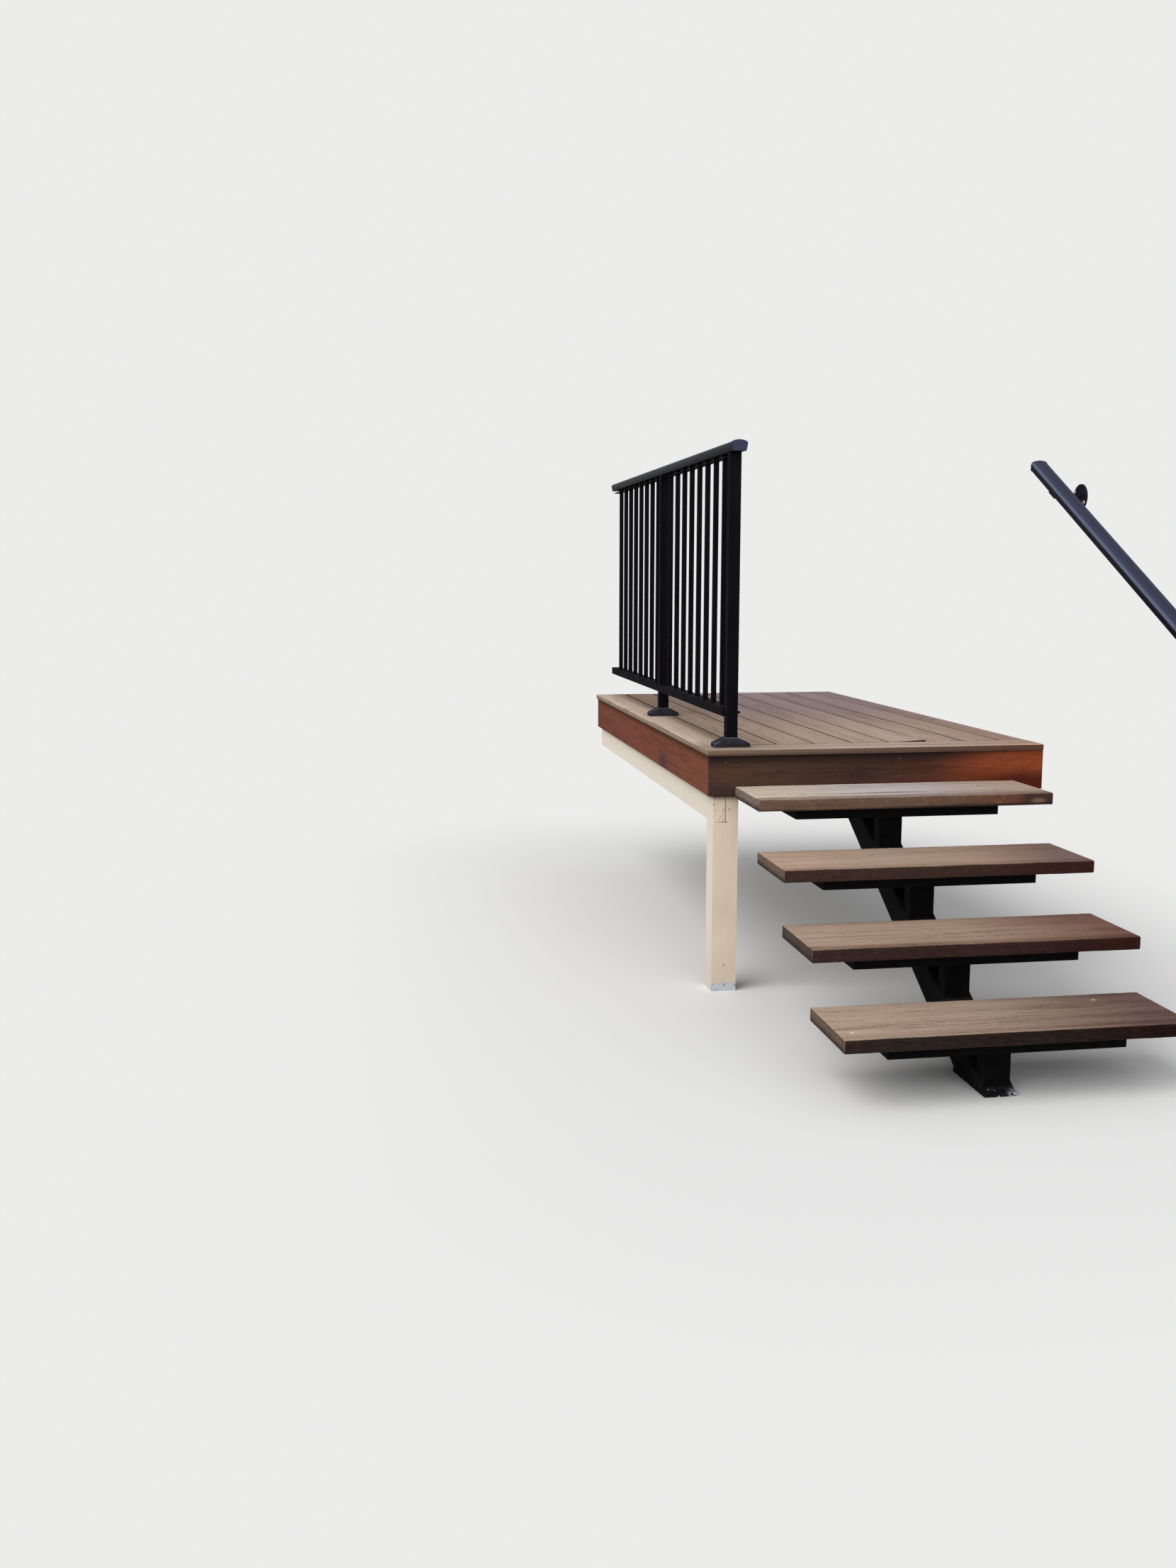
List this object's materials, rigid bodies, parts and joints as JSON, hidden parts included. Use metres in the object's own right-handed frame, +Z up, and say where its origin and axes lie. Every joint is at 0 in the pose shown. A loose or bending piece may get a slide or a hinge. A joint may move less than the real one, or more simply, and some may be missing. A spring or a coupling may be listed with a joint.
{
  "type": "timber entry steps with landing",
  "caption": "Open hardwood steps on a steel stringer, rising to a boarded landing with a metal balustrade; a separate handrail screws to the adjoining wall.",
  "frame": {"origin": "middle of the wall bearer's face that bolts to the right-hand wall, 732 mm above the ground", "axes": "+X into the right-hand wall, +Y up the flight towards the back wall, +Z up"},
  "size_m": [1.17, 3.4725, 1.817],
  "materials": {
    "decking": "weathered oiled hardwood",
    "tread_timber": "weathered hardwood",
    "fascia_timber": "red-brown oiled hardwood",
    "framing_timber": "bare sawn softwood",
    "cream_paint": "cream painted timber",
    "black_steel": "satin black paint",
    "black_aluminium": "satin black powder coat",
    "cast_cover": "worn black casting"
  },
  "bodies": {
    "root": {"back_joist": "framing_timber", "bottom_rail": "black_aluminium", "corner_post": "cream_paint", "far_bay_balusters": "black_aluminium", "far_bay_spacer_strip": "black_aluminium", "field_boards": "decking", "front_balustrade_post": "black_aluminium", "front_border_board": "decking", "front_fascia": "fascia_timber", "front_post_cover": "cast_cover", "front_rim_joist": "framing_timber", "handrail_bracket_1": "black_aluminium", "handrail_bracket_2": "black_aluminium", "handrail_lower_cap": "black_aluminium", "handrail_upper_cap": "black_aluminium", "joist_1": "framing_timber", "joist_2": "framing_timber", "joist_3": "framing_timber", "joist_4": "framing_timber", "left_border_board": "decking", "left_fascia": "fascia_timber", "mid_balustrade_post": "black_aluminium", "mid_post_cover": "cast_cover", "near_bay_balusters": "black_aluminium", "near_bay_spacer_strip": "black_aluminium", "outer_beam": "cream_paint", "stringer": "black_steel", "stringer_base_plate": "black_steel", "stringer_top_plate": "black_steel", "top_rail": "black_aluminium", "top_rail_end_cap": "black_aluminium", "tread_1": "tread_timber", "tread_2": "tread_timber", "tread_3": "tread_timber", "tread_4": "tread_timber", "tread_carrier_1": "black_steel", "tread_carrier_2": "black_steel", "tread_carrier_3": "black_steel", "tread_carrier_4": "black_steel", "tread_stub_1": "black_steel", "tread_stub_2": "black_steel", "tread_stub_3": "black_steel", "tread_stub_4": "black_steel", "trimmer_joist": "framing_timber", "wall_bearer": "framing_timber", "wall_handrail": "black_aluminium"}
  },
  "joints": []
}
